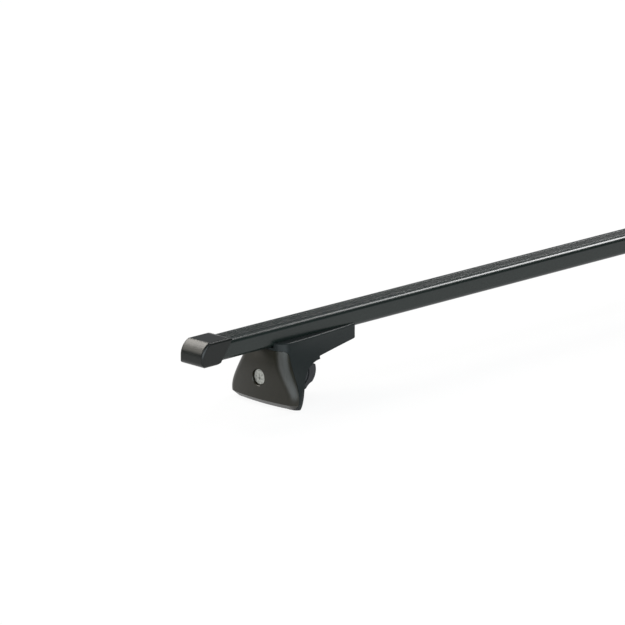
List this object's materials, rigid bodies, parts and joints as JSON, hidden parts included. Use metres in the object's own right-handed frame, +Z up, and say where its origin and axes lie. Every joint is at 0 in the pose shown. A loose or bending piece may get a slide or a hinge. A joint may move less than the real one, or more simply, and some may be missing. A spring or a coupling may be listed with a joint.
{
  "type": "roof rack crossbar",
  "caption": "Roof rack crossbar: ribbed steel bar with end caps, carried on lockable feet whose screw-drawn jaws clamp a raised roof rail.",
  "frame": {"origin": "on the ground under the middle of the bar", "axes": "+X along the bar, +Y across it, +Z up"},
  "size_m": [1.2, 0.102, 0.0901],
  "materials": {
    "bar_coating": "smooth satin black coating over steel",
    "black_moulding": "fine matt grain",
    "jaw_casting": "dark grey coating over steel",
    "rubber": "matt",
    "lock_metal": "satin nickel",
    "plated_steel": "zinc plated"
  },
  "bodies": {
    "bar": {"bar_tube": "bar_coating", "end_cap_left": "black_moulding", "end_cap_right": "black_moulding"},
    "foot_left": {"foot_body_left": "black_moulding", "rail_pad_left": "rubber", "bar_washers_left": "plated_steel", "bar_bolts_left": "plated_steel", "bar_clamp_plate_left": "plated_steel", "clamp_washer_left": "plated_steel"},
    "cover_left": {"lock_cover_left": "black_moulding", "lock_sleeve_left": "black_moulding"},
    "lock_left": {"lock_cylinder_left": "lock_metal", "lock_cam_left": "plated_steel", "cam_screw_left": "plated_steel"},
    "screw_left": {"clamp_screw_left": "plated_steel"},
    "jaw_left": {"clamp_jaw_left": "jaw_casting", "jaw_nut_left": "plated_steel", "jaw_pad_left": "rubber"},
    "foot_right": {"foot_body_right": "black_moulding", "rail_pad_right": "rubber", "bar_washers_right": "plated_steel", "bar_bolts_right": "plated_steel", "bar_clamp_plate_right": "plated_steel", "clamp_washer_right": "plated_steel"},
    "cover_right": {"lock_cover_right": "black_moulding", "lock_sleeve_right": "black_moulding"},
    "lock_right": {"lock_cylinder_right": "lock_metal", "lock_cam_right": "plated_steel", "cam_screw_right": "plated_steel"},
    "screw_right": {"clamp_screw_right": "plated_steel"},
    "jaw_right": {"clamp_jaw_right": "jaw_casting", "jaw_nut_right": "plated_steel", "jaw_pad_right": "rubber"}
  },
  "joints": [
    {"name": "foot_slide_left", "type": "slide", "parent": "bar", "child": "foot_left", "axis": [1, 0, 0], "range_m": [-0.04, 0.06]},
    {"name": "cover_pull_left", "type": "slide", "parent": "foot_left", "child": "cover_left", "axis": [-1, 0, 0], "range_m": [0, 0.08]},
    {"name": "lock_turn_left", "type": "hinge", "parent": "cover_left", "child": "lock_left", "pos_m": [-0.5, 0, 0.0314], "axis": [1, 0, 0], "range_deg": [0, 90]},
    {"name": "screw_turn_left", "type": "hinge", "parent": "foot_left", "child": "screw_left", "pos_m": [-0.47, 0, 0.0513], "axis": [1, 0, 0], "range_deg": [-3460, 870]},
    {"name": "jaw_travel_left", "type": "slide", "parent": "foot_left", "child": "jaw_left", "axis": [1, 0, 0], "range_m": [-0.003, 0.012]},
    {"name": "foot_slide_right", "type": "slide", "parent": "bar", "child": "foot_right", "axis": [-1, 0, 0], "range_m": [-0.04, 0.06]},
    {"name": "cover_pull_right", "type": "slide", "parent": "foot_right", "child": "cover_right", "axis": [1, 0, 0], "range_m": [0, 0.08]},
    {"name": "lock_turn_right", "type": "hinge", "parent": "cover_right", "child": "lock_right", "pos_m": [0.5, 0, 0.0314], "axis": [-1, 0, 0], "range_deg": [0, 90]},
    {"name": "screw_turn_right", "type": "hinge", "parent": "foot_right", "child": "screw_right", "pos_m": [0.47, 0, 0.0513], "axis": [-1, 0, 0], "range_deg": [-3460, 870]},
    {"name": "jaw_travel_right", "type": "slide", "parent": "foot_right", "child": "jaw_right", "axis": [-1, 0, 0], "range_m": [-0.003, 0.012]}
  ],
  "couplings": [
    {"joint": "screw_turn_left", "follows": "jaw_travel_left", "rad_per_m": -5026.5},
    {"joint": "screw_turn_right", "follows": "jaw_travel_right", "rad_per_m": -5026.5}
  ]
}
